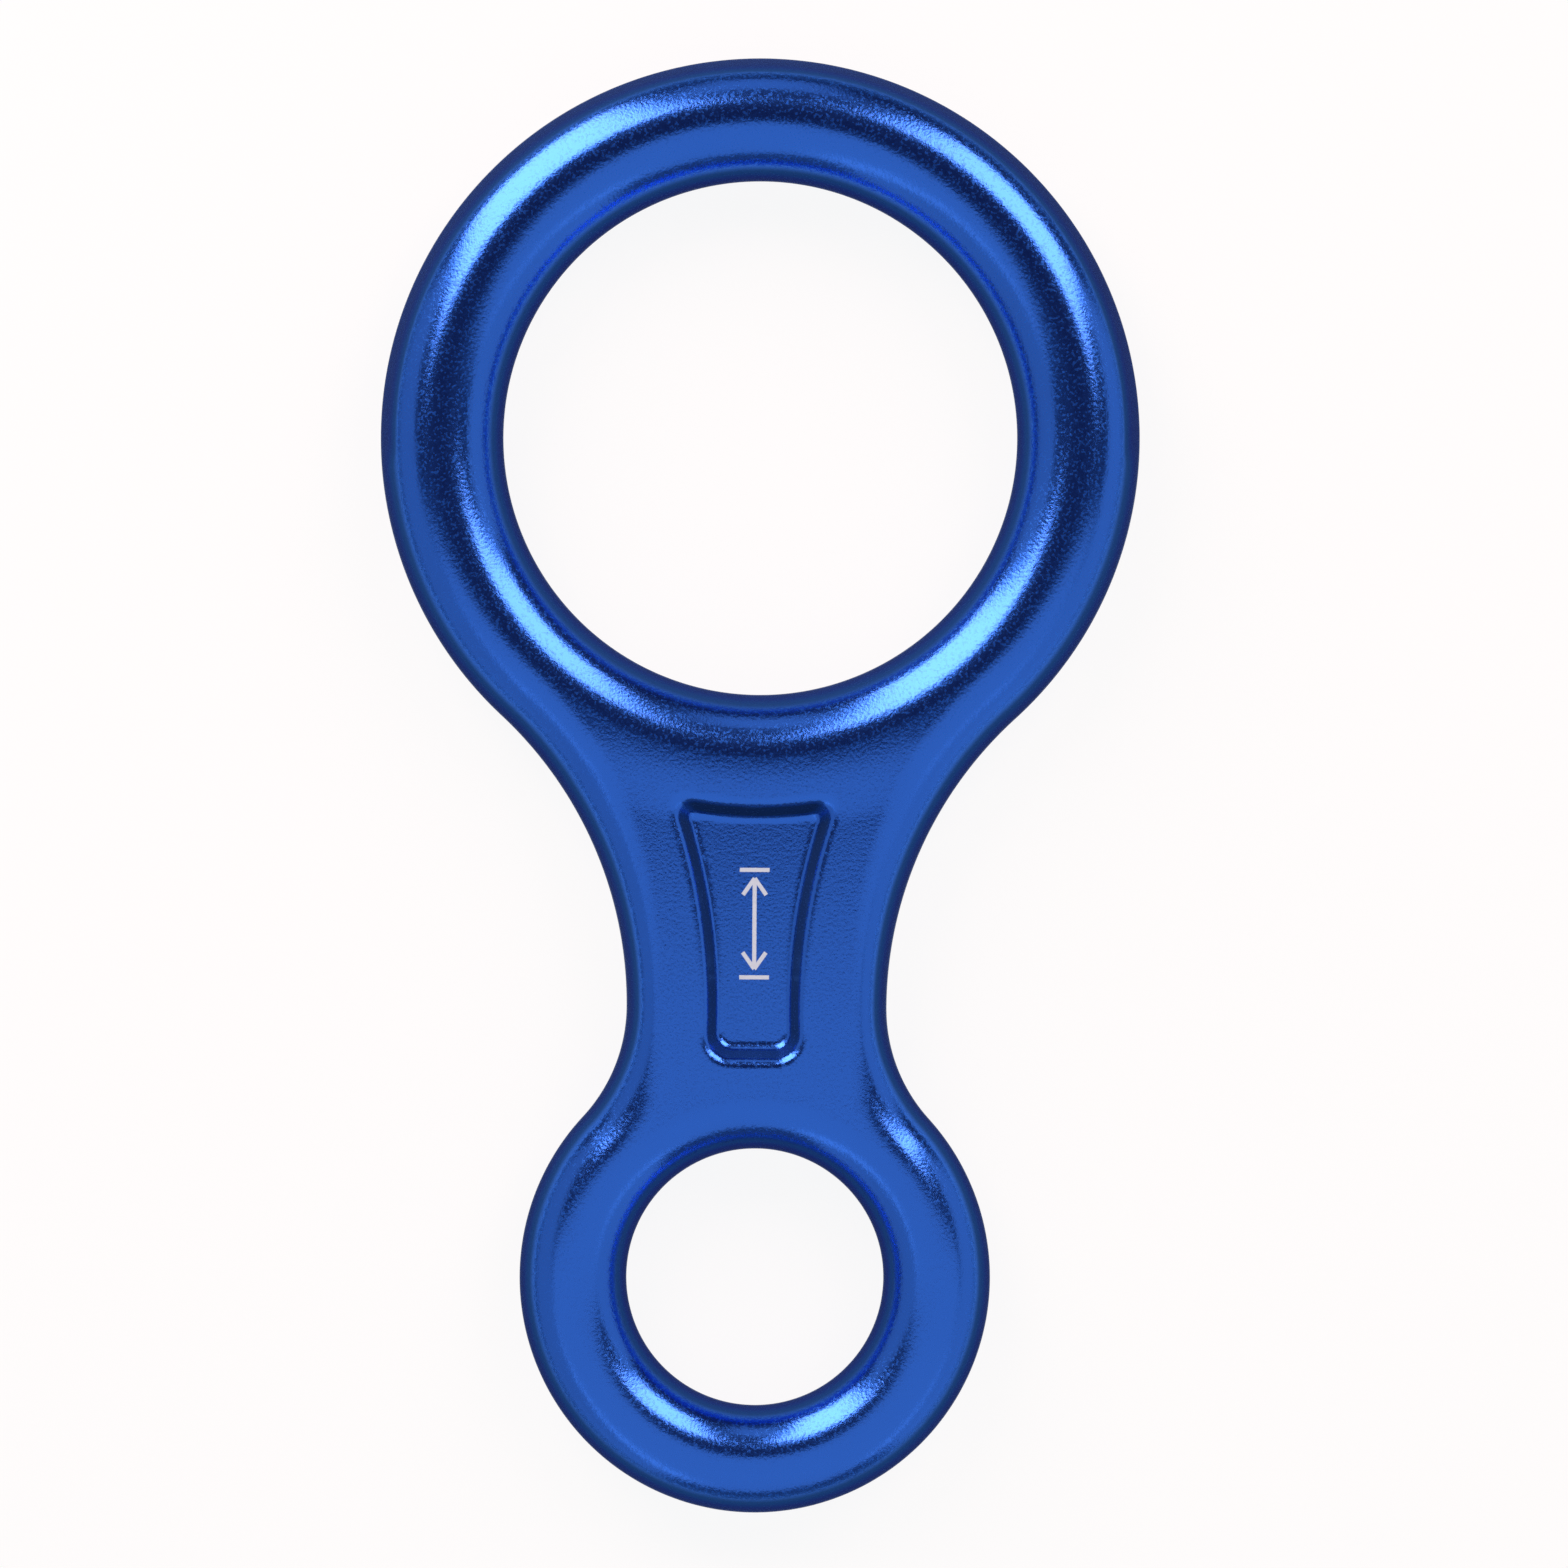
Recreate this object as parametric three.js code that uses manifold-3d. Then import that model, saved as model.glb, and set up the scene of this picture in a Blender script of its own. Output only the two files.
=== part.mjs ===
// Figure eight descender
// One forged aluminium body: a large ring for the rope, a small ring for the karabiner,
// and a flat web that joins them, with a sunk panel in each of its faces.
// Millimetres. It lies flat, +Y towards the large ring and +Z up, and the origin is
// under the middle of its outline, at the height of what it lies on.

import * as THREE from 'three';
import { mergeVertices } from 'three/addons/utils/BufferGeometryUtils.js';
import Module from 'manifold-3d';

// Large ring, a round bar bent into a circle
const largeHoleDiameter = 52;
const largeBarDiameter = 12.4;

// Small ring
const smallHoleDiameter = 26;
const smallBarDiameter = 10.8;

// Web between the rings
const neckLength = 22.7; // between the outer edges of the two rings, along the centre line
const waistWidth = 26.3; // where the web is narrowest
const waistPlaceShare = 0.844; // of the neck's length, from the large ring to the narrowest place
const webThickness = 10.9;
const webEdgeRound = 4.4; // from the outline in to where the face is flat
const webEdgeLand = 0.9; // straight band round the web's edge, where the flash is trimmed off
const webEndShare = 0.9; // of a bar's radius, that the web's end may reach past its middle

// Sunk panel, its outline taken half way down its wall
const panelDepth = 1.7;
const panelWaistWidth = 8.7; // at the web's narrowest place
const panelSideRadius = 67; // each side curves as the web's own edge does
const panelCornerRadius = 1.5;
const panelFilletRadius = 1.25; // at the rim and at the floor
const panelWallAngle = THREE.MathUtils.degToRad(60);
const panelRingGap = 2.3; // from where the large ring rises out of the web
const panelCrestGap = 4.3; // from the top line of the small ring's bar
const cutOverrun = 0.5; // that a cutter stands above the face it cuts

// Anodised finish
const bodyColor = 0x245ab5;
const bodyRoughness = 0.35;
const bodyMetalness = 0.9;

// Facet counts
const largeRingSegments = 80;
const smallRingSegments = 56;
const barSegments = 20;
const webArcDivisions = 7;
const webEdgeSegments = 5;
const panelArcSegments = 6;
const panelSideSegments = 8;
const panelFilletSegments = 3;

// A ring's radii, worked out from its hole and its bar
function ringSizes(holeDiameter, barDiameter) {
  const bar = barDiameter / 2;
  const hole = holeDiameter / 2;
  return { bar, hole, middle: hole + bar, outer: hole + barDiameter };
}

const largeRing = ringSizes(largeHoleDiameter, largeBarDiameter);
const smallRing = ringSizes(smallHoleDiameter, smallBarDiameter);
const ringSpacing = largeRing.outer + neckLength + smallRing.outer;
const overallLength = largeRing.outer + ringSpacing + smallRing.outer;
const overallThickness = Math.max(largeBarDiameter, smallBarDiameter, webThickness);

// The body is drawn about the centre of the large ring, at half its thickness
const smallRingY = -ringSpacing;
const waistY = -(largeRing.outer + waistPlaceShare * neckLength);
const waistHalf = waistWidth / 2;

const wasm = await Module();
wasm.setup();

// A closed three.js geometry as a solid that can be joined and cut
function toSolid(geometry) {
  const bare = geometry.clone();
  bare.deleteAttribute('normal');
  bare.deleteAttribute('uv');
  const merged = mergeVertices(bare);
  const vertProperties = new Float32Array(merged.attributes.position.array);
  const triVerts = new Uint32Array(merged.index.array);
  return new wasm.Manifold(new wasm.Mesh({ numProp: 3, vertProperties, triVerts }));
}

// The solid back as a geometry, with flat facets
function toGeometry(solid) {
  const mesh = solid.getMesh();
  const geometry = new THREE.BufferGeometry();
  geometry.setAttribute('position', new THREE.BufferAttribute(mesh.vertProperties, 3));
  geometry.setIndex(new THREE.BufferAttribute(mesh.triVerts, 1));
  return geometry;
}

function makeRing(ring, segments) {
  return new THREE.TorusGeometry(ring.middle, ring.bar, barSegments, segments);
}

// The arc of the web's edge that runs from the narrowest place, where it is parallel to the
// centre line, to a ring, whose outer edge it touches without a corner
function waistArc(ring, ringY) {
  const rise = ringY - waistY;
  const radius = (rise ** 2 + waistHalf ** 2 - ring.outer ** 2) / (2 * (ring.outer - waistHalf));
  const centerX = waistHalf + radius;
  return { radius, centerX, toRing: Math.atan2(rise, -centerX), fromRing: Math.atan2(-rise, centerX) };
}

// How far from a ring's centre the web ends, hidden inside the bar
function webEndRadius(ring) {
  return ring.middle - Math.min(webEdgeRound, webEndShare * ring.bar);
}

function webShape() {
  const upper = waistArc(largeRing, 0);
  const lower = waistArc(smallRing, smallRingY);
  const shape = new THREE.Shape();
  shape.absarc(upper.centerX, waistY, upper.radius, upper.toRing, Math.PI, false);
  shape.absarc(lower.centerX, waistY, lower.radius, -Math.PI, lower.toRing, false);
  shape.absarc(0, smallRingY, webEndRadius(smallRing), lower.fromRing, Math.PI - lower.fromRing, false);
  shape.absarc(-lower.centerX, waistY, lower.radius, -Math.PI - lower.toRing, 0, false);
  shape.absarc(-upper.centerX, waistY, upper.radius, 0, Math.PI - upper.toRing, false);
  shape.absarc(0, 0, webEndRadius(largeRing), -Math.PI - upper.fromRing, upper.fromRing, false);
  return shape;
}

function makeWeb() {
  const bevelThickness = (webThickness - webEdgeLand) / 2;
  const web = new THREE.ExtrudeGeometry(webShape(), {
    depth: webEdgeLand,
    curveSegments: webArcDivisions,
    bevelEnabled: true,
    bevelThickness,
    bevelSize: webEdgeRound,
    bevelOffset: -webEdgeRound,
    bevelSegments: webEdgeSegments,
  });
  web.translate(0, 0, -webEdgeLand / 2);
  return web;
}

function arcPoints(centerX, centerY, radius, start, end, segments) {
  const points = [];
  for (let i = 0; i <= segments; i += 1) {
    const angle = THREE.MathUtils.lerp(start, end, i / segments);
    points.push(new THREE.Vector2(centerX + radius * Math.cos(angle), centerY + radius * Math.sin(angle)));
  }
  return points;
}

// The panel's plan: its top edge follows the large ring, its sides follow the web's edges,
// its bottom edge is straight, and a small arc rounds each corner
function panelPlan() {
  const ringRise = Math.sqrt(Math.max(0, largeRing.bar ** 2 - (webThickness / 2) ** 2));
  const topRadius = largeRing.middle + ringRise + panelRingGap;
  const bottomY = smallRingY + smallRing.middle + panelCrestGap;
  const sideX = panelWaistWidth / 2 + panelSideRadius;

  // A corner's centre lies one corner radius away from both of the edges that it joins
  const sideReach = panelSideRadius + panelCornerRadius;
  const topReach = topRadius + panelCornerRadius;
  const span = Math.hypot(sideX, waistY);
  const along = (span ** 2 + topReach ** 2 - sideReach ** 2) / (2 * span);
  const aside = Math.sqrt(topReach ** 2 - along ** 2);
  const topCorner = new THREE.Vector2(
    (along * sideX + aside * waistY) / span,
    (along * waistY - aside * sideX) / span,
  );
  const lowY = bottomY + panelCornerRadius;
  const bottomCorner = new THREE.Vector2(sideX - Math.sqrt(sideReach ** 2 - (lowY - waistY) ** 2), lowY);
  return { topRadius, bottomY, sideX, topCorner, bottomCorner };
}

// The right half of the panel's outline, moved inwards by an inset, from top to bottom
function panelHalf(plan, inset) {
  const corner = panelCornerRadius - inset;
  const side = panelSideRadius + inset;
  const topAngle = plan.topCorner.angle() - 2 * Math.PI;
  const toTop = Math.atan2(plan.topCorner.y - waistY, plan.topCorner.x - plan.sideX);
  const toBottom = Math.atan2(plan.bottomCorner.y - waistY, plan.bottomCorner.x - plan.sideX);
  const bottomAngle = toBottom < 0 ? toBottom + 2 * Math.PI : toBottom;
  const { x: topX, y: topY } = plan.topCorner;
  const { x: lowX, y: lowY } = plan.bottomCorner;
  return [
    ...arcPoints(0, 0, plan.topRadius + inset, -Math.PI / 2, topAngle, panelArcSegments),
    ...arcPoints(topX, topY, corner, topAngle + Math.PI, toTop - Math.PI, panelArcSegments).slice(1),
    ...arcPoints(plan.sideX, waistY, side, toTop, bottomAngle, panelSideSegments).slice(1),
    ...arcPoints(lowX, lowY, corner, bottomAngle - Math.PI, -Math.PI / 2, panelArcSegments).slice(1),
  ];
}

function panelOutline(plan, inset) {
  const right = panelHalf(plan, inset);
  const left = right.slice(1).map((point) => new THREE.Vector2(-point.x, point.y));
  return [...right.reverse(), ...left];
}

// The steps down the panel's wall: an arc over the rim, a straight slope, an arc into the floor
function panelWall() {
  const fullArcDrop = 2 * (1 - Math.cos(panelWallAngle));
  const fillet = Math.min(panelFilletRadius, panelDepth / fullArcDrop);
  const slopeRun = (panelDepth - fillet * fullArcDrop) / Math.tan(panelWallAngle);
  const halfRun = fillet * Math.sin(panelWallAngle) + slopeRun / 2;
  const rim = [];
  for (let i = 0; i <= panelFilletSegments; i += 1) {
    const angle = (panelWallAngle * i) / panelFilletSegments;
    rim.push({ inset: fillet * Math.sin(angle) - halfRun, drop: fillet * (1 - Math.cos(angle)) });
  }
  const floor = rim.map((step) => ({ inset: -step.inset, drop: panelDepth - step.drop })).reverse();
  return [...rim, ...floor];
}

// A closed body from outlines of equal point counts, stacked from the floor up
function stackOutlines(layers) {
  const count = layers[0].outline.length;
  const positions = layers.flatMap(({ outline, z }) => outline.flatMap(({ x, y }) => [x, y, z]));
  const index = [];
  for (let layer = 0; layer < layers.length - 1; layer += 1) {
    for (let i = 0; i < count; i += 1) {
      const here = layer * count + i;
      const next = layer * count + ((i + 1) % count);
      index.push(here, next, next + count, here, next + count, here + count);
    }
  }
  const lid = (layers.length - 1) * count;
  for (const [a, b, c] of THREE.ShapeUtils.triangulateShape(layers[0].outline, [])) {
    index.push(a, c, b, lid + a, lid + b, lid + c);
  }
  const geometry = new THREE.BufferGeometry();
  geometry.setAttribute('position', new THREE.Float32BufferAttribute(positions, 3));
  geometry.setIndex(index);
  return geometry;
}

// What is cut out of the web's upper face; turned over, it cuts the lower one
function makePanelCutter() {
  const plan = panelPlan();
  const faceZ = webThickness / 2;
  const steps = panelWall();
  const layers = steps.map(({ inset, drop }) => ({ outline: panelOutline(plan, inset), z: faceZ - drop }));
  layers.unshift({ outline: panelOutline(plan, steps[0].inset), z: faceZ + cutOverrun });
  return stackOutlines(layers.reverse());
}

function makeBody() {
  const largeBar = toSolid(makeRing(largeRing, largeRingSegments));
  const smallBar = toSolid(makeRing(smallRing, smallRingSegments).translate(0, smallRingY, 0));
  const cutter = makePanelCutter();
  const upperPanel = toSolid(cutter);
  const lowerPanel = toSolid(cutter.clone().rotateY(Math.PI));
  const forging = largeBar.add(smallBar).add(toSolid(makeWeb()));
  return toGeometry(forging.subtract(upperPanel).subtract(lowerPanel));
}

const anodised = new THREE.MeshStandardMaterial({
  color: bodyColor,
  roughness: bodyRoughness,
  metalness: bodyMetalness,
  flatShading: true,
});

const body = new THREE.Mesh(makeBody(), anodised);
body.name = 'figure_eight_body';
body.position.set(0, overallLength / 2 - largeRing.outer, overallThickness / 2);

const descender = new THREE.Group();
descender.add(body);

export default descender;
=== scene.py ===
# %% [markdown]
# # A forged figure eight descender in blue anodised aluminium
#
# The real object is one forging: a large ring for the rope, a small ring for the karabiner, and a
# waisted web between them with a sunk panel in each face. Nothing on it moves and nothing is
# fastened to it, so this lesson builds one piece. What it has to get right is the way the rings
# flow into the web, and a finish that is half mirror and half grain.
#
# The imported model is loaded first. It fixes the place and the size of everything that follows.

# %% Load the frame
import math

import bpy
import numpy as np
from mathutils import Matrix, Vector


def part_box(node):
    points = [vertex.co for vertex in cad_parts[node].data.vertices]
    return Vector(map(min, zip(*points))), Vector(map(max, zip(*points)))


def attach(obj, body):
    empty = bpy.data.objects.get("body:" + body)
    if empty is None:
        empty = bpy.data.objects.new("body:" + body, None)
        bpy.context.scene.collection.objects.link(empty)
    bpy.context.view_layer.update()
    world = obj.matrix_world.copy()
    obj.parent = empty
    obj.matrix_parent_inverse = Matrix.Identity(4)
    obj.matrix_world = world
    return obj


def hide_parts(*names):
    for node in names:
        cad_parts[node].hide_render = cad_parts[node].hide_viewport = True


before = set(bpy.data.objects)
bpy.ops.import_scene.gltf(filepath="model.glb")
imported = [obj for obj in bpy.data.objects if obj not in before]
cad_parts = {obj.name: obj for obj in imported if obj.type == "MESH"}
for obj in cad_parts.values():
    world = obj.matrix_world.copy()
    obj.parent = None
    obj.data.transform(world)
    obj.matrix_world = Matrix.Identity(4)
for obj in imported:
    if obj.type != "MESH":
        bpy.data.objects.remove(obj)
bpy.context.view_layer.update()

MM = 0.001
body_low, body_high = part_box("figure_eight_body")
body_size = (body_high - body_low) / MM
print("forging, mm:", [round(side, 2) for side in body_size])

# %% [markdown]
# ## The forging's sizes
#
# A maker would read these off the drawing: the bores of the two rings, the bars they are bent
# from, and the waist of the web. The overall width and thickness come from the frame, so the
# large ring follows it, and the rest is written down in millimetres.

# %% Sizes of the rings and the web
large_outer = body_size.x / 2
large_bar = body_size.z / 2
large_hole = large_outer - 2 * large_bar
small_bar = 5.4
small_hole = 13.0
small_outer = small_hole + 2 * small_bar

large_y = body_size.y / 2 - large_outer
small_y = small_outer - body_size.y / 2
middle_z = body_size.z / 2

neck_length = body_size.y - 2 * large_outer - 2 * small_outer
waist_half = 13.15
waist_share = 0.844
waist_y = large_y - large_outer - waist_share * neck_length
print("ring centres, mm:", round(large_y, 2), round(small_y, 2), "waist at", round(waist_y, 2))

# %% [markdown]
# ## The outline of the web
#
# Each side of the web is two arcs. They meet at the waist, and each one runs into its ring without
# a corner. Such an arc is known once the ring, the waist and the height between them are known,
# which is the same construction as with a compass on paper.


# %% Arcs of the waist
def waist_arc(ring_outer, ring_y):
    rise = ring_y - waist_y
    radius = (rise**2 + waist_half**2 - ring_outer**2) / (2 * (ring_outer - waist_half))
    return radius, waist_half + radius


upper_radius, upper_x = waist_arc(large_outer, large_y)
lower_radius, lower_x = waist_arc(small_outer, small_y)


def inside_outline(x, y):
    """How far a point lies inside the forging's outer edge, seen from above."""
    x = np.abs(x)
    ring = np.where(
        y > waist_y,
        large_outer - np.hypot(x, y - large_y),
        small_outer - np.hypot(x, y - small_y),
    )
    upper = np.hypot(x - upper_x, y - waist_y) - upper_radius
    lower = np.hypot(x - lower_x, y - waist_y) - lower_radius
    on_upper = (y > waist_y) & (y < large_y + (waist_y - large_y) * x / upper_x)
    on_lower = (y <= waist_y) & (y > small_y + (waist_y - small_y) * x / lower_x)
    return np.select([on_upper, on_lower], [upper, lower], ring)


print("waist arcs, mm:", round(upper_radius, 2), round(lower_radius, 2))

# %% [markdown]
# ## The sunk panel
#
# The panel is a keystone: its upper edge follows the large ring, its sides follow the web's own
# edges, and its lower edge is straight. Its outline is kept as a distance, the distance to the
# nearest of the four edges, because that is all it takes to draw a wall of any section all the
# way round.

# %% Panel outline
panel_waist_half = 4.2
panel_side_radius = 62.0
panel_upper_corner = 1.8
panel_lower_corner = 2.3
panel_aside = -0.3
panel_top_radius = 37.75
panel_above_small_ring = 4.3
panel_bottom_y = small_y + small_hole + small_bar + panel_above_small_ring


def inside_panel(x, y):
    """How far a point lies inside the middle line of the panel's wall."""
    side_centre = panel_waist_half + panel_side_radius
    side = np.hypot(np.abs(x - panel_aside) - side_centre, y - waist_y) - panel_side_radius
    top = np.hypot(x, y - large_y) - panel_top_radius
    bottom = y - panel_bottom_y
    nearest = np.minimum(np.minimum(side, top), bottom)
    corner = np.where(y > waist_y, panel_upper_corner, panel_lower_corner)
    reach = sum(np.maximum(corner - edge, 0) ** 2 for edge in (side, top, bottom))
    return np.minimum(nearest, corner - np.sqrt(reach))


panel_top_y = large_y - panel_top_radius
print("panel, mm long:", round(panel_top_y - panel_bottom_y, 2))

# %% [markdown]
# In the forging die the panel is a raised pad with rounded edges, so the wall it leaves is an S:
# over the rim, down a steep slope, and into the floor. The slope is a little over 50 degrees. A
# gentler one would lose its dark line at the panel's corners, where two walls meet.

# %% Panel wall
panel_depth = 1.9
rim_radius = 1.3
floor_radius = 1.15
wall_angle = math.radians(53)

rim_drop = rim_radius * (1 - math.cos(wall_angle))
floor_drop = floor_radius * (1 - math.cos(wall_angle))
slope_run = (panel_depth - rim_drop - floor_drop) / math.tan(wall_angle)
rim_run = rim_radius * math.sin(wall_angle)
floor_run = floor_radius * math.sin(wall_angle)
wall_run = rim_run + slope_run + floor_run


def panel_drop(inset):
    """Share of the panel's depth, at a distance inside the middle of its wall."""
    along = np.clip(inset + wall_run / 2, 0, wall_run)
    on_rim = np.minimum(along, rim_run)
    on_slope = np.clip(along - rim_run, 0, slope_run)
    to_floor = np.clip(wall_run - along, 0, floor_run)
    drop = rim_radius - np.sqrt(rim_radius**2 - on_rim**2)
    drop += on_slope * math.tan(wall_angle)
    drop += floor_drop - floor_radius + np.sqrt(floor_radius**2 - to_floor**2)
    return drop / panel_depth


print("panel wall, mm wide:", round(wall_run, 2))

# %% [markdown]
# ## One formula for the whole forging
#
# Two rings and a plate could be joined with a boolean, but the seams would show: on the real
# forging the rings swell out of the web without a line. So the body is one formula. Every point of
# the plan has a thickness, and three roundings take it away: one at the outer edge and one round
# each hole. Where an edge and a hole are a bar apart, what is left is exactly a round bar.

# %% Levels and roundings
web_half_high = 6.0
web_high_y, web_low_y = 8.0, -31.0
panel_floor_high, panel_floor_low = 3.9, 3.6
web_round = 3.9
web_side_blend = 3.0
small_blend_reach = 16.0
ring_blend_start = 32.8
ring_blend_end = 40.0
large_crest_shift = 0.2
small_crest_shift = -0.05
crest_shift_at_web = 0.05


def ease(value):
    value = np.clip(value, 0, 1)
    return value * value * (3 - 2 * value)


print("large ring fades into the web over mm:", round(ring_blend_end - ring_blend_start, 2))


# %% [markdown]
# The web is a plate that thins a little towards the small ring, and the panel is sunk into it. The
# large ring's full thickness eases down to that plate over a few millimetres. The crests of the
# rings lie a hair off the middle of their bars, as the light on the real ones shows.


# %% The formula
def plan_of_body(x, y):
    """What the roundings leave (1 in full, 0 at an edge) and the half thickness, over the plan."""
    edge = inside_outline(x, y)
    from_large = np.hypot(x, y - large_y)
    from_small = np.hypot(x, y - small_y)

    to_ring = ease((large_y - large_hole - y) / (large_y - large_hole - waist_y))
    to_small = ease((waist_y - y) / (waist_y - small_y - small_blend_reach))
    rounding = large_bar + (web_round - large_bar) * to_ring + (small_bar - web_round) * to_small
    taper = np.clip((y - web_low_y) / (web_high_y - web_low_y), 0, 1)
    plate = small_bar + (web_half_high - small_bar) * taper

    beside_ring = (edge - large_outer + from_large) / web_side_blend
    in_web = np.where(y > waist_y, ease(beside_ring), 1.0)
    down = ease((from_large - ring_blend_start) / (ring_blend_end - ring_blend_start)) * in_web
    face = large_bar + (plate - large_bar) * down
    floor_level = panel_floor_low + (panel_floor_high - panel_floor_low) * taper
    half = face - panel_drop(inside_panel(x, y)) * (face - floor_level)

    large_inner = large_bar + large_crest_shift + crest_shift_at_web * in_web * (y > waist_y)
    small_inner = small_bar + small_crest_shift
    outer = rounding - large_crest_shift * (1 - to_ring)
    left = 1 - np.maximum(1 - edge / outer, 0) ** 2
    left -= np.maximum(1 - (from_large - large_hole) / large_inner, 0) ** 2
    left -= np.maximum(1 - (from_small - small_hole) / small_inner, 0) ** 2
    return left, half


def body_field(points):
    """Above zero inside the forging, below zero outside, for points in mm about its middle."""
    left, half = plan_of_body(points[:, 0], points[:, 1])
    return left - (points[:, 2] / half) ** 2


waist_plan = plan_of_body(np.zeros(1), np.full(1, waist_y))
print("half thickness of the panel's floor at the waist, mm:", round(float(waist_plan[1][0]), 2))

# %% [markdown]
# ## From the formula to a mesh
#
# A formula has no faces. The usual way to give it some is a net: space is cut into small cells,
# each cell that the surface passes through gets one vertex, and neighbouring cells are joined by
# four-sided faces. The cells are finer across the panel, where the wall is only two millimetres
# wide.


# %% Cells, finer across the panel
def cell_lines(low, high, fine_low, fine_high, coarse, fine):
    parts = [
        np.linspace(low, fine_low, round((fine_low - low) / coarse), endpoint=False),
        np.linspace(fine_low, fine_high, round((fine_high - fine_low) / fine), endpoint=False),
        np.linspace(fine_high, high, round((high - fine_high) / coarse) + 1),
    ]
    return np.concatenate(parts)


coarse_cell = 0.52
fine_cell = 0.285
margin = 1.0
panel_x = (-9.5, 9.5)
panel_y = (-29.5, 0.5)
margin_below, margin_above = 1.13, 1.17
level_lines = 33
half_width, half_length = body_size.x / 2 + margin, body_size.y / 2 + margin
grid = [
    cell_lines(-half_width, half_width, *panel_x, coarse_cell, fine_cell),
    cell_lines(-half_length, half_length, *panel_y, coarse_cell, fine_cell),
    np.linspace(-large_bar - margin_below, large_bar + margin_above, level_lines),
]
print("cells:", [len(lines) - 1 for lines in grid])


# %% [markdown]
# The formula is worked out at every corner of every cell. Where it changes sign along a cell's
# edge, the surface crosses that edge. The four cells round it are joined by one face, wound so that
# it looks outwards, and each cell's vertex is the middle of the crossings on its own edges.


# %% Weave the net
def weave_net(grid, values):
    """One vertex in each cell that the surface crosses, and a face round each edge that it cuts."""
    cells = [len(lines) - 1 for lines in grid]
    sums = np.zeros((3, np.prod(cells)))
    counts = np.zeros(np.prod(cells))
    quads = []
    for axis in range(3):
        here = np.take(values, range(len(grid[axis]) - 1), axis)
        there = np.take(values, range(1, len(grid[axis])), axis)
        index = np.array(np.nonzero((here > 0) != (there > 0)))
        near, far = here[tuple(index)], there[tuple(index)]
        place = [grid[a][index[a]] for a in range(3)]
        step = grid[axis][index[axis] + 1] - place[axis]
        place[axis] = place[axis] + step * near / (near - far)
        one, two = (axis + 1) % 3, (axis + 2) % 3
        ring = []
        for back_one, back_two in ((1, 1), (0, 1), (0, 0), (1, 0)):
            cell = index.copy()
            cell[one] -= back_one
            cell[two] -= back_two
            flat = np.ravel_multi_index(cell, cells)
            for a in range(3):
                sums[a] += np.bincount(flat, place[a], len(counts))
            counts += np.bincount(flat, minlength=len(counts))
            ring.append(flat)
        ring = np.array(ring).T
        quads.append(np.where((near > 0)[:, None], ring, ring[:, ::-1]))
    used = np.nonzero(counts)[0]
    number = np.zeros(len(counts), int)
    number[used] = np.arange(len(used))
    return (sums[:, used] / counts[used]).T, number[np.concatenate(quads)]


plan_x, plan_y = np.meshgrid(grid[0], grid[1], indexing="ij")
left, half = plan_of_body(plan_x, plan_y)
net, quads = weave_net(grid, left[..., None] - (grid[2] / half[..., None]) ** 2)
print("net:", len(net), "vertices,", len(quads), "faces")


# %% [markdown]
# The net's vertices lie near the surface, not on it. Each one is moved along the steepest way
# until the formula gives zero. Between these moves every vertex slides a little towards the middle
# of its neighbours, which evens out the faces and keeps highlights from wobbling.


# %% Pull the net onto the surface
def steepest(points, reach=0.002):
    slope = np.empty_like(points)
    for a in range(3):
        step = np.zeros(3)
        step[a] = reach
        slope[:, a] = (body_field(points + step) - body_field(points - step)) / (2 * reach)
    return slope


def pull_onto_surface(points, rounds, longest_move=0.2):
    for _ in range(rounds):
        slope = steepest(points)
        steep = np.maximum((slope**2).sum(1), 1e-6)
        move = -body_field(points)[:, None] * slope / steep[:, None]
        length = np.linalg.norm(move, axis=1, keepdims=True)
        points = points + move * np.minimum(1, longest_move / np.maximum(length, 1e-9))
    return points


def middle_of_neighbours(points, quads):
    total = np.zeros_like(points)
    share = np.zeros(len(points))
    for a, b in ((0, 1), (1, 2), (2, 3), (3, 0)):
        for p, q in ((a, b), (b, a)):
            for axis in range(3):
                neighbour = points[quads[:, q], axis]
                total[:, axis] += np.bincount(quads[:, p], neighbour, len(points))
            share += np.bincount(quads[:, p], minlength=len(points))
    return total / share[:, None]


slide_share = 0.6
for _ in range(4):
    net = pull_onto_surface(net, rounds=2)
    net = net + slide_share * (middle_of_neighbours(net, quads) - net)
net = pull_onto_surface(net, rounds=5)
print("furthest from the formula:", float(np.abs(body_field(net)).max()))

# %% [markdown]
# The faces become one mesh in metres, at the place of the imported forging. The vertex normals are
# taken from the formula too. They are exact, so a highlight runs across the faces as it would over
# polished metal.

# %% Make the forging
normals = -steepest(net)
normals /= np.linalg.norm(normals, axis=1, keepdims=True)
middle = np.array((0.0, 0.0, middle_z))

forging_mesh = bpy.data.meshes.new("forged_body")
forging_mesh.from_pydata(((net + middle) * MM).tolist(), [], quads.tolist())
forging_mesh.validate()
forging_mesh.shade_smooth()
forging_mesh.normals_split_custom_set_from_vertices(normals.tolist())
forging = bpy.data.objects.new("forged_body", forging_mesh)
bpy.context.scene.collection.objects.link(forging)

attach(forging, "root")
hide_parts("figure_eight_body")
print("forging:", len(forging_mesh.polygons), "faces")

# %% [markdown]
# ## Nodes in a few words
#
# A material is a tree of nodes with links between their sockets. Two helpers keep the cells below
# short: one adds a node and fills or links its inputs, the other starts a node group with named
# inputs and outputs.


# %% Node helpers
def add_node(tree, kind, settings=None, inputs=None):
    node = tree.nodes.new(kind)
    for name, value in (settings or {}).items():
        setattr(node, name, value)
    for name, value in (inputs or {}).items():
        socket = node.inputs[name]
        if isinstance(value, bpy.types.NodeSocket):
            tree.links.new(value, socket)
        else:
            socket.default_value = value
    return node


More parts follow.
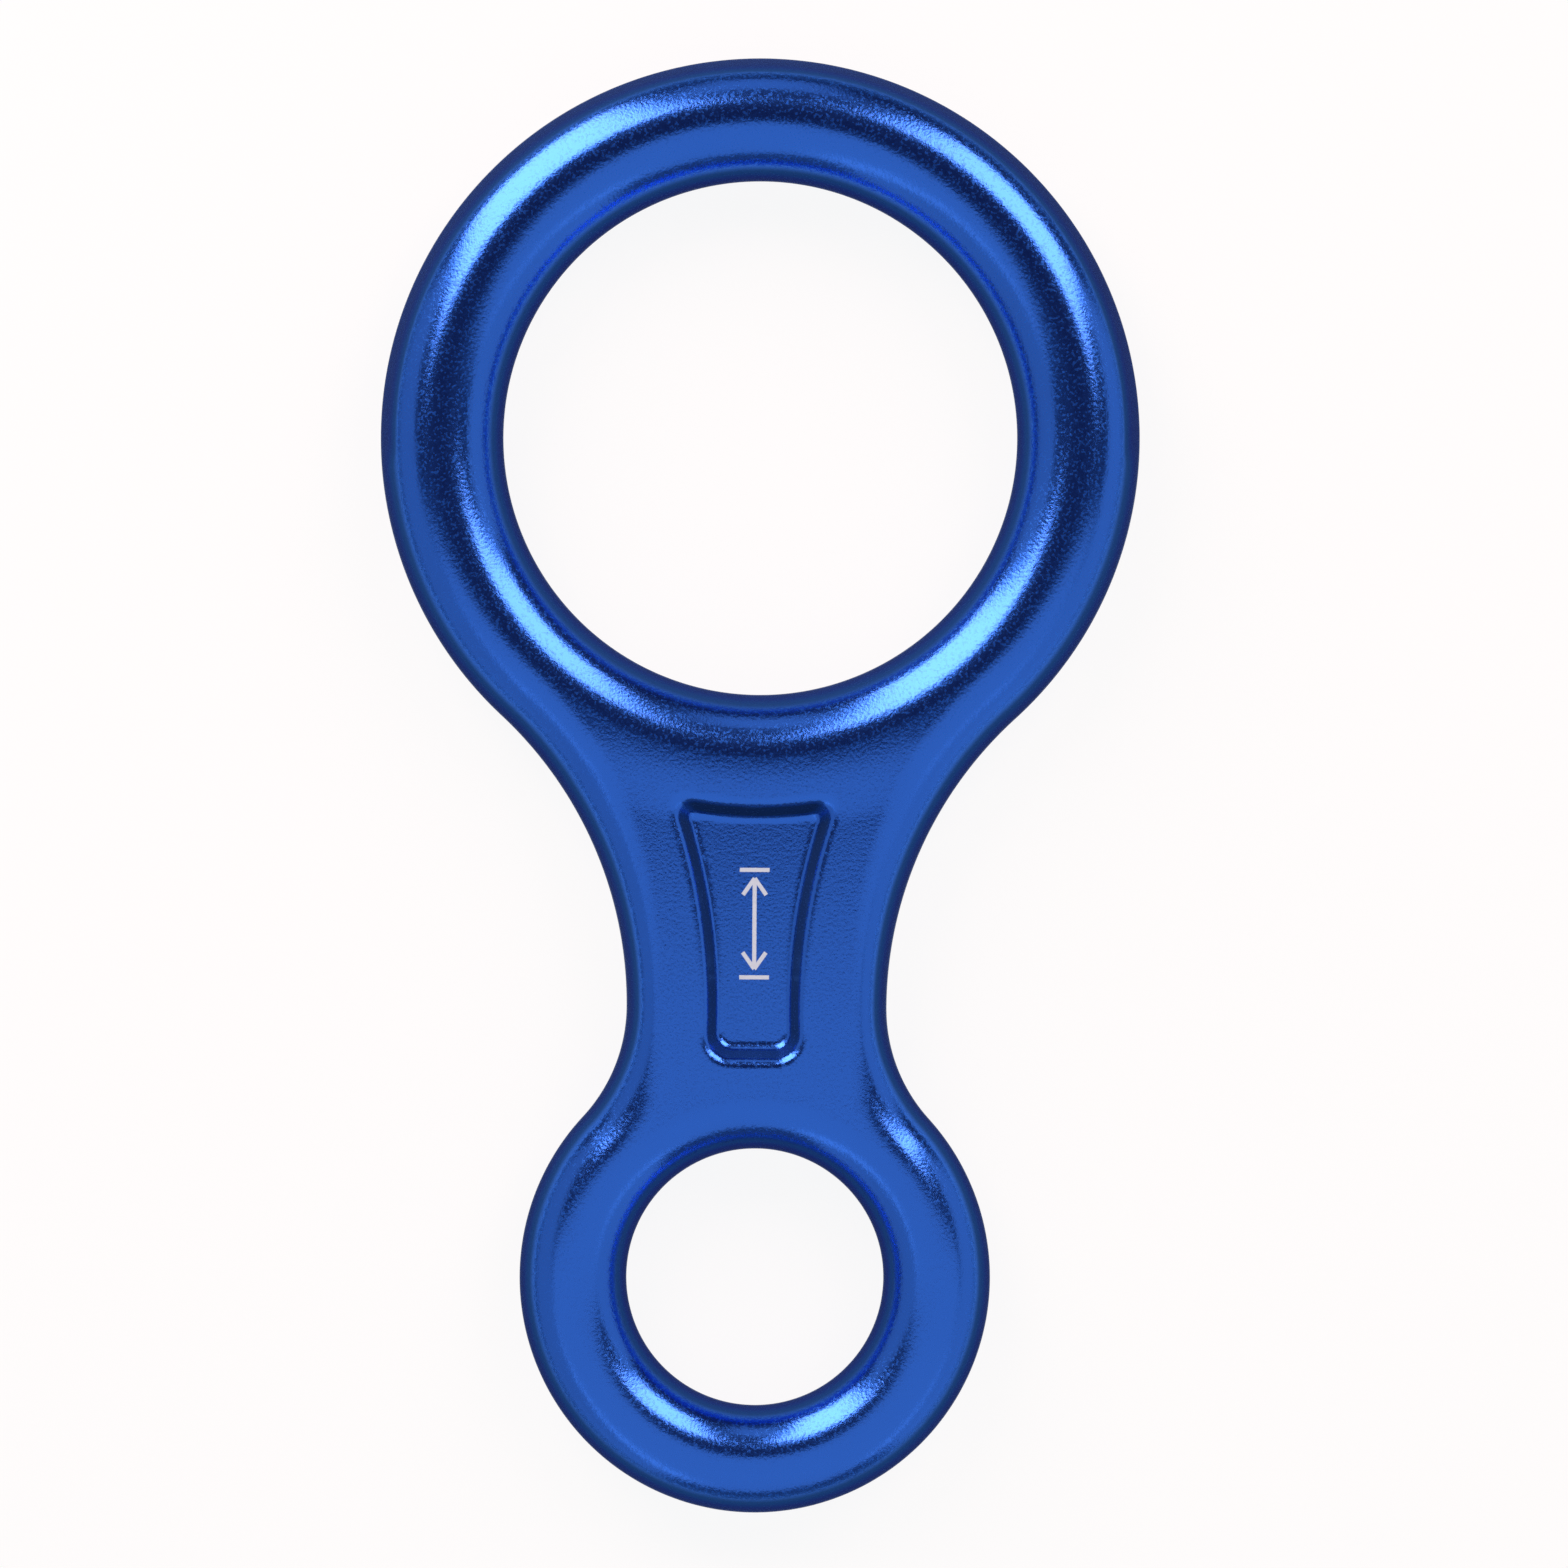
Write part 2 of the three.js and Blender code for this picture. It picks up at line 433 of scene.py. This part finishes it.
def new_group(name, inputs, outputs):
    group = bpy.data.node_groups.new(name, "ShaderNodeTree")
    for label, kind, value in inputs:
        socket = group.interface.new_socket(label, in_out="INPUT", socket_type=kind)
        if value is not None:
            socket.default_value = value
    for label, kind in outputs:
        group.interface.new_socket(label, in_out="OUTPUT", socket_type=kind)
    given = group.nodes.new("NodeGroupInput").outputs
    result = group.nodes.new("NodeGroupOutput").inputs
    return group, given, result


def math_step(tree, operation, one, two=0.0, three=0.0):
    inputs = {0: one, 1: two, 2: three}
    return add_node(tree, "ShaderNodeMath", {"operation": operation}, inputs).outputs[0]


def noise(tree, place, scale, detail, roughness):
    inputs = {"Vector": place, "Scale": scale, "Detail": detail, "Roughness": roughness}
    return add_node(tree, "ShaderNodeTexNoise", None, inputs).outputs[0]


print("helpers:", ", ".join(step.__name__ for step in (add_node, new_group, math_step, noise)))

# %% [markdown]
# ## Blast grain, as a group
#
# Before anodising, the forging is tumbled and blasted with fine beads. That leaves a pebbled
# skin with dimples about a third of a millimetre across, on a faint, wider ripple from the
# tumbling. They are too small to model. The group gives their height, for a weak bump, and a
# second mask of specks, for the gloss: where a bead has struck harder the metal is duller, and
# that is what glitters along the border of a highlight. A stronger bump would do it too, but it
# draws streaks on the flats. As a group, the grain can be used again with other values.


# %% Blast grain group
def blast_grain():
    group, given, result = new_group(
        "blast grain",
        [
            ("Place", "NodeSocketVector", None),
            ("Dimple Size", "NodeSocketFloat", 0.3 * MM),
            ("Ripple Size", "NodeSocketFloat", 2.6 * MM),
            ("Ripple", "NodeSocketFloat", 0.15),
            ("Speck Size", "NodeSocketFloat", 0.3 * MM),
            ("Speck Start", "NodeSocketFloat", 0.5),
            ("Speck Full", "NodeSocketFloat", 0.68),
        ],
        [("Height", "NodeSocketFloat"), ("Speckle", "NodeSocketFloat")],
    )
    place = given["Place"]
    dimple_scale = math_step(group, "DIVIDE", 1.0, given["Dimple Size"])
    ripple_scale = math_step(group, "DIVIDE", 1.0, given["Ripple Size"])
    speck_scale = math_step(group, "DIVIDE", 1.0, given["Speck Size"])
    dimple = noise(group, place, dimple_scale, detail=2.0, roughness=0.55)
    ripple = noise(group, place, ripple_scale, detail=1.0, roughness=0.4)
    height = math_step(group, "ADD", dimple, math_step(group, "MULTIPLY", ripple, given["Ripple"]))
    group.links.new(height, result["Height"])
    speck = add_node(
        group,
        "ShaderNodeMapRange",
        {"interpolation_type": "SMOOTHSTEP"},
        {
            "Value": noise(group, place, speck_scale, detail=1.0, roughness=0.5),
            "From Min": given["Speck Start"],
            "From Max": given["Speck Full"],
        },
    )
    group.links.new(speck.outputs[0], result["Speckle"])
    return group


grain_group = blast_grain()
print("group:", grain_group.name, "with", len(grain_group.nodes), "nodes")

# %% [markdown]
# ## A laser mark, as a group
#
# The floor of the panel carries a plain mark: an arrow with two heads and a bar at each end, which
# shows the way the load runs. A laser bleaches the dye there and leaves a pale, matt line. The
# group gives 1 on the strokes and 0 beside them. It is worked out from the distance to each stroke,
# on the upper face only.

# %% Load arrow group
head_angle = math.radians(35)
head_reach = 0.68
strokes_from_tip_to_bar = 2.0


def load_arrow():
    group, given, result = new_group(
        "load arrow",
        [
            ("Place", "NodeSocketVector", None),
            ("Middle X", "NodeSocketFloat", -0.25 * MM),
            ("Middle Y", "NodeSocketFloat", -13.9 * MM),
            ("Half Length", "NodeSocketFloat", 5.4 * MM),
            ("Half Width", "NodeSocketFloat", 1.5 * MM),
            ("Stroke", "NodeSocketFloat", 0.42 * MM),
            ("Softness", "NodeSocketFloat", 0.05 * MM),
            ("Lowest Z", "NodeSocketFloat", 6.2 * MM),
        ],
        [("Mark", "NodeSocketFloat")],
    )

    def step(operation, *values):
        return math_step(group, operation, *values)

    split = add_node(group, "ShaderNodeSeparateXYZ", None, {0: given["Place"]})
    aside = step("ABSOLUTE", step("SUBTRACT", split.outputs["X"], given["Middle X"]))
    along = step("ABSOLUTE", step("SUBTRACT", split.outputs["Y"], given["Middle Y"]))
    half_stroke = step("MULTIPLY", given["Stroke"], 0.5)
    tip = step("MULTIPLY_ADD", given["Stroke"], -strokes_from_tip_to_bar, given["Half Length"])

    # the shaft and the end bar are boxes, the head is a slanted stroke that ends at the tip
    shaft = step("MAXIMUM", aside, step("ADD", step("SUBTRACT", along, tip), half_stroke))
    end_aside = step("ADD", step("SUBTRACT", aside, given["Half Width"]), half_stroke)
    end_along = step("ABSOLUTE", step("SUBTRACT", along, given["Half Length"]))
    end_bar = step("MAXIMUM", end_aside, end_along)

    behind = step("SUBTRACT", tip, along)
    behind_across = step("MULTIPLY", behind, -math.sin(head_angle))
    behind_down = step("MULTIPLY", behind, math.cos(head_angle))
    across_head = step("ABSOLUTE", step("MULTIPLY_ADD", aside, math.cos(head_angle), behind_across))
    down_head = step("MULTIPLY_ADD", aside, math.sin(head_angle), behind_down)
    middle_of_head = step("MULTIPLY", given["Half Width"], head_reach)
    off_head = step("ABSOLUTE", step("SUBTRACT", down_head, middle_of_head))
    past_head = step("ADD", step("SUBTRACT", off_head, middle_of_head), half_stroke)
    head = step("MAXIMUM", across_head, past_head)

    nearest = step("MINIMUM", step("MINIMUM", shaft, end_bar), head)
    edge = step("DIVIDE", step("SUBTRACT", nearest, half_stroke), given["Softness"])
    soft_edge = {"operation": "SUBTRACT", "use_clamp": True}
    mark = add_node(group, "ShaderNodeMath", soft_edge, {0: 0.5, 1: edge})
    upper = step("GREATER_THAN", split.outputs["Z"], given["Lowest Z"])
    group.links.new(step("MULTIPLY", mark.outputs[0], upper), result["Mark"])
    return group


arrow_group = load_arrow()
print("group:", arrow_group.name, "with", len(arrow_group.nodes), "nodes")

# %% [markdown]
# ## Anodised aluminium
#
# Anodising grows a clear, hard skin on the metal and soaks it with dye. Light goes through the dye,
# is mirrored by the metal and comes back blue, while a little is mirrored white by the skin's own
# surface. So the metal is a coloured metallic base, rough from the blasting, and the skin is a
# thin coat over it. The material starts with its two groups, placed by the object's own
# coordinates, so that the grain stays on the metal when the object moves.

# %% Start the material
dimple_depth = 0.02 * MM

anodised = bpy.data.materials.new("anodised_blue")
anodised.use_nodes = True
tree = anodised.node_tree
tree.nodes.clear()
output = tree.nodes.new("ShaderNodeOutputMaterial")
place = add_node(tree, "ShaderNodeTexCoord").outputs["Object"]
grain = add_node(tree, "ShaderNodeGroup", {"node_tree": grain_group}, {"Place": place})
mark = add_node(tree, "ShaderNodeGroup", {"node_tree": arrow_group}, {"Place": place})
bump = add_node(
    tree,
    "ShaderNodeBump",
    None,
    {"Height": grain.outputs["Height"], "Strength": 1.0, "Distance": dimple_depth},
)
print("grain depth, mm:", round(dimple_depth / MM, 3))

# %% [markdown]
# The dye isn't one flat blue. It takes a little better in some places, which soft clouds of noise
# give. On top of that, navy is painted into the colour at a slant, towards the edges of the rings:
# this is painted shade, a dark edge reflection put into the colour instead of coming from the
# studio. The shader's own tint for slanted light acts only at the very edge, so here Layer Weight,
# which tells how slanted the surface is seen, changes the base colour itself. This is a shortcut,
# and it has a price. The colour depends on where one looks from, and not all of it is gloss,
# because at a slant part of the base isn't metal. A model exported from this scene gets one usual
# value in its place. Where the laser has been, the dye is bleached.


# %% Dye, with painted shade at the edges
def mix_colours(mask, one, two):
    """A Mix node for colours: socket 0 is its mask, and sockets 6 and 7 are its two colours."""
    mix = add_node(tree, "ShaderNodeMix", {"data_type": "RGBA"}, {0: mask, 6: one, 7: two})
    return mix.outputs[2]


dye_blue = (0.027, 0.160, 0.75, 1)
dye_blue_light = (0.028, 0.170, 0.79, 1)
# painted shade: navy put into the colour at the slanted edges of the rings
painted_edge_shade_navy = (0.016, 0.06, 0.205, 1)
bleached_blue = (0.58, 0.74, 0.86, 1)
cloud_size = 9 * MM
painted_shade_from, painted_shade_to = 0.24, 0.44

clouds = noise(tree, place, scale=1 / cloud_size, detail=2.0, roughness=0.5)
# how slanted the surface is seen, used as the mask of the painted edge shade
slant = add_node(tree, "ShaderNodeLayerWeight", None, {"Blend": 0.5})
painted_edge_shade = add_node(
    tree,
    "ShaderNodeMapRange",
    {"interpolation_type": "SMOOTHSTEP"},
    {"Value": slant.outputs["Facing"], "From Min": painted_shade_from, "From Max": painted_shade_to},
).outputs[0]
dye_with_painted_shade = mix_colours(painted_edge_shade, mix_colours(clouds, dye_blue, dye_blue_light), painted_edge_shade_navy)
skin_colour = mix_colours(mark.outputs["Mark"], dye_with_painted_shade, bleached_blue)
print("dye deepens between facing", painted_shade_from, "and", painted_shade_to)

# %% [markdown]
# The gloss follows the same masks. The specks of the grain are duller than the metal between them.
# At a slant, the mask of the painted edge shade also turns part of the base from metal to plain dye
# and fades the skin's white sheen, which darkens the edges further. The laser's lines are matt.


# %% Metal and skin
def change(value, target, mask):
    """A value that goes over to a target where the mask is 1."""
    inputs = {"Value": mask, "To Min": value, "To Max": target}
    return add_node(tree, "ShaderNodeMapRange", None, inputs).outputs[0]


plain_rough, speck_rough, mark_rough = 0.19, 0.3, 0.5
metal_at_slant, metal_on_mark = 0.55, 0.35
sheen_facing, sheen_at_slant = 0.31, 0.04

# the mask of the painted edge shade also lowers the metal share and the white sheen at the edges
metal_share = change(1.0, metal_at_slant, painted_edge_shade)
speckled_rough = change(plain_rough, speck_rough, grain.outputs["Speckle"])
surface = add_node(
    tree,
    "ShaderNodeBsdfPrincipled",
    None,
    {
        "Base Color": skin_colour,
        "Metallic": change(metal_share, metal_on_mark, mark.outputs["Mark"]),
        "Roughness": change(speckled_rough, mark_rough, mark.outputs["Mark"]),
        "Coat Weight": change(sheen_facing, sheen_at_slant, painted_edge_shade),
        "Coat Roughness": 0.12,
        "Coat IOR": 1.5,
        "Specular IOR Level": 0.0,
        "Specular Tint": (0.1, 0.15, 0.3, 1),
        "Normal": bump.outputs[0],
        "Coat Normal": bump.outputs[0],
    },
)
tree.links.new(surface.outputs[0], output.inputs[0])
forging_mesh.materials.append(anodised)
print("material:", anodised.name, "with", len(tree.nodes), "nodes")

# %% [markdown]
# ## The table
#
# The object lies on a plain white sheet. It is a white floor that is lit by the same lamps and
# keeps a faint shadow. A Light Path node lifts what the camera sees of it towards white, and the
# metal is shown the same white.

# %% White floor
floor_half = 4.0
paper_white = (0.8, 0.8, 0.8, 1)
lift_to_white = 0.9

floor_mesh = bpy.data.meshes.new("floor")
floor_corners = [(floor_half * x, floor_half * y, 0) for x, y in ((-1, -1), (1, -1), (1, 1), (-1, 1))]
floor_mesh.from_pydata(floor_corners, [], [(0, 1, 2, 3)])
floor = bpy.data.objects.new("floor", floor_mesh)
bpy.context.scene.collection.objects.link(floor)

white_sheet = bpy.data.materials.new("white_sheet")
white_sheet.use_nodes = True
tree = white_sheet.node_tree
tree.nodes.clear()
output = tree.nodes.new("ShaderNodeOutputMaterial")
rays = tree.nodes.new("ShaderNodeLightPath").outputs
camera_or_glossy = math_step(tree, "MAXIMUM", rays["Is Camera Ray"], rays["Is Glossy Ray"])
seen = math_step(tree, "MAXIMUM", camera_or_glossy, rays["Is Transmission Ray"])
lift = math_step(tree, "MULTIPLY", seen, lift_to_white)
paper = add_node(tree, "ShaderNodeBsdfDiffuse", None, {"Color": paper_white})
glow = add_node(tree, "ShaderNodeEmission", None, {"Color": (1, 1, 1, 1), "Strength": 1.0})
mixed = add_node(tree, "ShaderNodeMixShader", None, {0: lift, 1: paper.outputs[0], 2: glow.outputs[0]})
tree.links.new(mixed.outputs[0], output.inputs[0])
floor_mesh.materials.append(white_sheet)
print("floor, m wide:", 2 * floor_half)

# %% [markdown]
# ## The light
#
# What one sees on polished metal is the studio, so each lamp here is there for a highlight or a
# tone. Area lamps do this best, because their edges show in the metal as the edges of a softbox
# would. A lamp is given the level that a white card in front of it would show, which is easier to
# judge than watts, and its place on a dome over the table.


# %% Lamp helpers
def soft_panel(name, centre, aim, width, height, level, colour=(1, 1, 1)):
    """A soft light that a white card in front of it would show as `level`."""
    light = bpy.data.lights.new(name, "AREA")
    light.color = colour
    light.shape = "RECTANGLE"
    light.size, light.size_y = width, height
    light.energy = level * math.pi * width * height
    lamp = bpy.data.objects.new(name, light)
    bpy.context.scene.collection.objects.link(lamp)
    lamp.location = centre
    away = (lamp.location - Vector(aim)).normalized()
    level_side = Vector((0, 0, 1)).cross(away)
    across = level_side.normalized() if level_side.length > 1e-6 else Vector((1, 0, 0))
    facing = Matrix((across, away.cross(across), away)).transposed()
    lamp.rotation_mode = "QUATERNION"
    lamp.rotation_quaternion = facing.to_quaternion()
    lamp.visible_camera = False
    where = [round(c, 2) for c in centre]
    print(name, "at", where, "level", level, "watts", round(light.energy, 1))


def on_dome(tilt, heading, distance):
    """A point at a tilt from straight up, towards a heading with 0 along +X, in degrees."""
    t, h = math.radians(tilt), math.radians(heading)
    return (
        distance * math.sin(t) * math.cos(h),
        distance * math.sin(t) * math.sin(h),
        distance * math.cos(t),
    )


warm = (1.5, 1.0, 0.9)
web_top = (0, 0.01, 0.006)
table_middle = (0, 0, 0)

# %% [markdown]
# Two warm softboxes above the far side draw the two long highlights on each ring. A weak strip
# between them lights the far edge. Nothing hangs above the large ring itself, and that gap is the
# dark line along its crest.

# %% Softboxes and strip at the far side
soft_panel(
    "left_softbox",
    on_dome(tilt=55.2, heading=125.3, distance=0.53),
    aim=web_top, width=0.27, height=0.468, level=4.85, colour=warm,
)
soft_panel(
    "right_softbox",
    on_dome(tilt=49.3, heading=48.5, distance=0.77),
    aim=web_top, width=0.375, height=0.49, level=4.3, colour=warm,
)
soft_panel(
    "far_strip",
    on_dome(tilt=64, heading=90, distance=0.8),
    aim=web_top, width=0.28, height=0.32, level=0.52,
)

# %% [markdown]
# The flats of the web and of the small ring face straight up, and show what is over the near side
# of the table: a large weak panel, and a narrow one beside the camera. The sides of the rings show
# a weak panel to the right and one to the left, which keep the blue from going black there.

# %% Panels over the near side and at the sides
soft_panel(
    "lower_panel", (0.04, -0.49, 0.35),
    aim=(0.04, -0.49, 0), width=0.74, height=0.95, level=0.57,
)
soft_panel(
    "near_strip", (0.02, -0.136, 0.35),
    aim=(0.02, -0.136, 0), width=0.66, height=0.248, level=0.92,
)
soft_panel(
    "right_panel",
    on_dome(tilt=69, heading=-14, distance=1.5),
    aim=table_middle, width=2.65, height=0.96, level=0.52,
)
soft_panel(
    "left_panel",
    on_dome(tilt=64, heading=199, distance=1.5),
    aim=table_middle, width=3.4, height=1.1, level=0.42,
)

# %% [markdown]
# The room behind the lamps isn't black. It is a dim, faintly violet grey above, and lighter low
# down on the near side. A ramp over the direction makes it, with its dark end tilted away from the
# near side.

# %% The room
dark_tilt = math.radians(28)
dark_middle = (0.0, math.sin(dark_tilt), math.cos(dark_tilt))
room_levels = (
    (0.30, (0.2, 0.19, 0.21)),
    (0.50, (0.062, 0.034, 0.054)),
    (1.00, (0.062, 0.028, 0.054)),
)

world = bpy.data.worlds.new("studio_room")
bpy.context.scene.world = world
world.use_nodes = True
tree = world.node_tree
tree.nodes.clear()
output = tree.nodes.new("ShaderNodeOutputWorld")
direction = add_node(tree, "ShaderNodeTexCoord")
height = add_node(
    tree,
    "ShaderNodeVectorMath",
    {"operation": "DOT_PRODUCT"},
    {0: direction.outputs["Generated"], 1: dark_middle},
)
place_on_ramp = math_step(tree, "MULTIPLY_ADD", height.outputs["Value"], 0.5, 0.5)
ramp = add_node(tree, "ShaderNodeValToRGB", None, {0: place_on_ramp})
while len(ramp.color_ramp.elements) < len(room_levels):
    ramp.color_ramp.elements.new(0.5)
for element, (position, colour) in zip(ramp.color_ramp.elements, room_levels):
    element.position = position
    element.color = (*colour, 1)
sky = add_node(tree, "ShaderNodeBackground", None, {"Color": ramp.outputs[0], "Strength": 1.0})
tree.links.new(sky.outputs[0], output.inputs[0])
print("room levels:", len(room_levels))

# %% [markdown]
# ## The camera
#
# The picture looks straight down, from a little over half a metre, with the object slightly turned
# in the frame. The lens follows from that distance and from how much of the table shows.

# %% Camera
frame_width = 158.7 * MM
camera_height = 520 * MM
camera_x, camera_y = 2.63 * MM, 0.15 * MM
camera_roll = math.radians(0.376)
sensor_width = 36

scene = bpy.context.scene
camera = bpy.data.objects.new("camera", bpy.data.cameras.new("camera"))
scene.collection.objects.link(camera)
camera.data.sensor_width = sensor_width
camera.data.lens = sensor_width * camera_height / frame_width
camera.data.clip_end = 20
camera.location = (camera_x, camera_y, middle_z * MM + camera_height)
camera.rotation_euler = (0, 0, camera_roll)
scene.camera = camera
scene.view_settings.view_transform = "Standard"
print("lens, mm:", round(camera.data.lens, 1))
